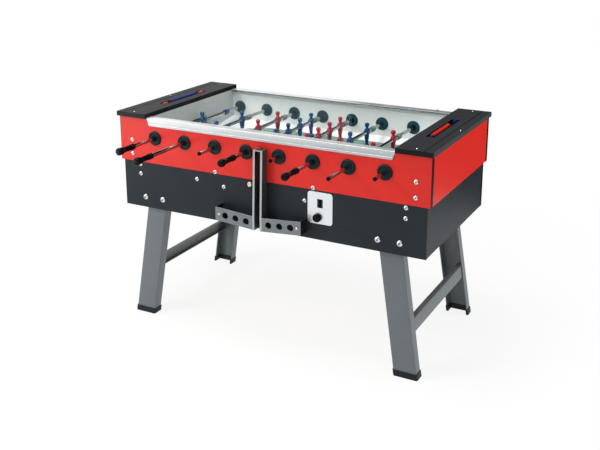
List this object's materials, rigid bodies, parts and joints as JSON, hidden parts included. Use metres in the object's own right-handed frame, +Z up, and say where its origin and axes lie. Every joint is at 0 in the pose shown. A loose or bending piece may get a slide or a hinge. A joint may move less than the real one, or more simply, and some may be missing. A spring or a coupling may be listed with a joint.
{
  "type": "foosball table",
  "caption": "Coin-operated foosball table with glass cover, red playing box on a black base, splayed channel legs and sliding, spinning rods of moulded men.",
  "frame": {"origin": "on the floor, under the middle of the table", "axes": "+X along the table to its right-hand end seen from the coin side, +Y from the coin side to the far side, +Z up"},
  "size_m": [1.43, 1.347, 0.9335],
  "materials": {
    "red_laminate": "red textured laminate over board",
    "black_laminate": "black laminate over board, fine grain",
    "top_board": "dark grey laminate, black edge",
    "bare_board": "unfinished board",
    "field": "green sheet with white margins",
    "inner_wall": "light grey inner wall",
    "glass": "clear float glass",
    "aluminium_rail": "satin anodised",
    "grey_steel": "grey powder coat",
    "foot_plastic": "black moulded shoe",
    "hammered_steel": "grey hammered enamel, rubbed bright at the edges",
    "stainless_plate": "brushed, black inside",
    "counter_fitting": "moulded blocks on a steel wire",
    "nylon": "dark nylon",
    "blue_men": "blue moulded men on a chromed steel rod with rubber stops",
    "red_men": "red moulded men on a chromed steel rod with rubber stops",
    "black_grip": "black turned handle",
    "blue_beads": "blue moulded beads",
    "red_beads": "red moulded beads",
    "black_knob": "black knob",
    "brass_lock": "pale brass plate"
  },
  "bodies": {
    "cabinet": {"upper_front_panel": "red_laminate", "upper_back_panel": "red_laminate", "left_upper_end_panel": "red_laminate", "right_upper_end_panel": "red_laminate", "playfield": "field", "left_goal_wall": "inner_wall", "right_goal_wall": "inner_wall", "glass_pane": "glass", "front_glass_rail": "aluminium_rail", "back_glass_rail": "aluminium_rail", "left_top_board": "top_board", "right_top_board": "top_board", "lower_front_panel": "black_laminate", "lower_back_panel": "black_laminate", "left_lower_end_panel": "black_laminate", "right_lower_end_panel": "black_laminate", "cabinet_floor": "bare_board", "ball_chute": "bare_board", "left_front_leg": "grey_steel", "right_front_leg": "grey_steel", "left_back_leg": "grey_steel", "right_back_leg": "grey_steel", "left_front_foot": "foot_plastic", "right_front_foot": "foot_plastic", "left_back_foot": "foot_plastic", "right_back_foot": "foot_plastic", "left_leg_brace": "grey_steel", "right_leg_brace": "grey_steel", "guard_bar": "hammered_steel", "coin_unit": "stainless_plate", "left_counter_frame": "counter_fitting", "right_counter_frame": "counter_fitting"},
    "rod_1_turning": {"rod_1_bush": "nylon"},
    "rod_1_sliding": {"rod_1": "blue_men", "rod_1_grip": "black_grip"},
    "rod_2_turning": {"rod_2_bush": "nylon"},
    "rod_2_sliding": {"rod_2": "blue_men", "rod_2_grip": "black_grip"},
    "rod_3_turning": {"rod_3_bush": "nylon"},
    "rod_3_sliding": {"rod_3": "red_men", "rod_3_grip": "black_grip"},
    "rod_4_turning": {"rod_4_bush": "nylon"},
    "rod_4_sliding": {"rod_4": "blue_men", "rod_4_grip": "black_grip"},
    "rod_5_turning": {"rod_5_bush": "nylon"},
    "rod_5_sliding": {"rod_5": "red_men", "rod_5_grip": "black_grip"},
    "rod_6_turning": {"rod_6_bush": "nylon"},
    "rod_6_sliding": {"rod_6": "blue_men", "rod_6_grip": "black_grip"},
    "rod_7_turning": {"rod_7_bush": "nylon"},
    "rod_7_sliding": {"rod_7": "red_men", "rod_7_grip": "black_grip"},
    "rod_8_turning": {"rod_8_bush": "nylon"},
    "rod_8_sliding": {"rod_8": "red_men", "rod_8_grip": "black_grip"},
    "left_beads": {"left_counter_beads": "blue_beads"},
    "right_beads": {"right_counter_beads": "red_beads"},
    "coin_knob": {"coin_knob": "black_knob"},
    "lock": {"lock_cylinder": "brass_lock"}
  },
  "joints": [
    {"name": "rod_1_spin", "type": "hinge", "parent": "cabinet", "child": "rod_1_turning", "pos_m": [-0.525, 0, 0.826], "axis": [0, 1, 0], "range_deg": [-202, 22]},
    {"name": "rod_1_slide", "type": "slide", "parent": "rod_1_turning", "child": "rod_1_sliding", "axis": [0, 1, 0], "range_m": [-0.12, 0.114]},
    {"name": "rod_2_spin", "type": "hinge", "parent": "cabinet", "child": "rod_2_turning", "pos_m": [-0.375, 0, 0.826], "axis": [0, 1, 0], "continuous": true},
    {"name": "rod_2_slide", "type": "slide", "parent": "rod_2_turning", "child": "rod_2_sliding", "axis": [0, 1, 0], "range_m": [-0.151, 0.157]},
    {"name": "rod_3_spin", "type": "hinge", "parent": "cabinet", "child": "rod_3_turning", "pos_m": [-0.225, 0, 0.826], "axis": [0, 1, 0], "continuous": true},
    {"name": "rod_3_slide", "type": "slide", "parent": "rod_3_turning", "child": "rod_3_sliding", "axis": [0, 1, 0], "range_m": [-0.076, 0.084]},
    {"name": "rod_4_spin", "type": "hinge", "parent": "cabinet", "child": "rod_4_turning", "pos_m": [-0.075, 0, 0.826], "axis": [0, 1, 0], "continuous": true},
    {"name": "rod_4_slide", "type": "slide", "parent": "rod_4_turning", "child": "rod_4_sliding", "axis": [0, 1, 0], "range_m": [-0.052, 0.056]},
    {"name": "rod_5_spin", "type": "hinge", "parent": "cabinet", "child": "rod_5_turning", "pos_m": [0.075, 0, 0.826], "axis": [0, 1, 0], "continuous": true},
    {"name": "rod_5_slide", "type": "slide", "parent": "rod_5_turning", "child": "rod_5_sliding", "axis": [0, 1, 0], "range_m": [-0.046, 0.062]},
    {"name": "rod_6_spin", "type": "hinge", "parent": "cabinet", "child": "rod_6_turning", "pos_m": [0.225, 0, 0.826], "axis": [0, 1, 0], "continuous": true},
    {"name": "rod_6_slide", "type": "slide", "parent": "rod_6_turning", "child": "rod_6_sliding", "axis": [0, 1, 0], "range_m": [-0.067, 0.093]},
    {"name": "rod_7_spin", "type": "hinge", "parent": "cabinet", "child": "rod_7_turning", "pos_m": [0.375, 0, 0.826], "axis": [0, 1, 0], "continuous": true},
    {"name": "rod_7_slide", "type": "slide", "parent": "rod_7_turning", "child": "rod_7_sliding", "axis": [0, 1, 0], "range_m": [-0.143, 0.165]},
    {"name": "rod_8_spin", "type": "hinge", "parent": "cabinet", "child": "rod_8_turning", "pos_m": [0.525, 0, 0.826], "axis": [0, 1, 0], "range_deg": [-22, 202]},
    {"name": "rod_8_slide", "type": "slide", "parent": "rod_8_turning", "child": "rod_8_sliding", "axis": [0, 1, 0], "range_m": [-0.147, 0.087]},
    {"name": "left_beads_slide", "type": "slide", "parent": "cabinet", "child": "left_beads", "axis": [0, 1, 0], "range_m": [-0.0277, 0.0357]},
    {"name": "right_beads_slide", "type": "slide", "parent": "cabinet", "child": "right_beads", "axis": [0, 1, 0], "range_m": [0, 0.0634]},
    {"name": "coin_knob_turn", "type": "hinge", "parent": "cabinet", "child": "coin_knob", "pos_m": [0.2465, -0.365, 0.6015], "axis": [0, 1, 0], "range_deg": [0, 90]},
    {"name": "lock_turn", "type": "hinge", "parent": "cabinet", "child": "lock", "pos_m": [-0.062, -0.352, 0.691], "axis": [0, 1, 0], "range_deg": [0, 90]}
  ]
}
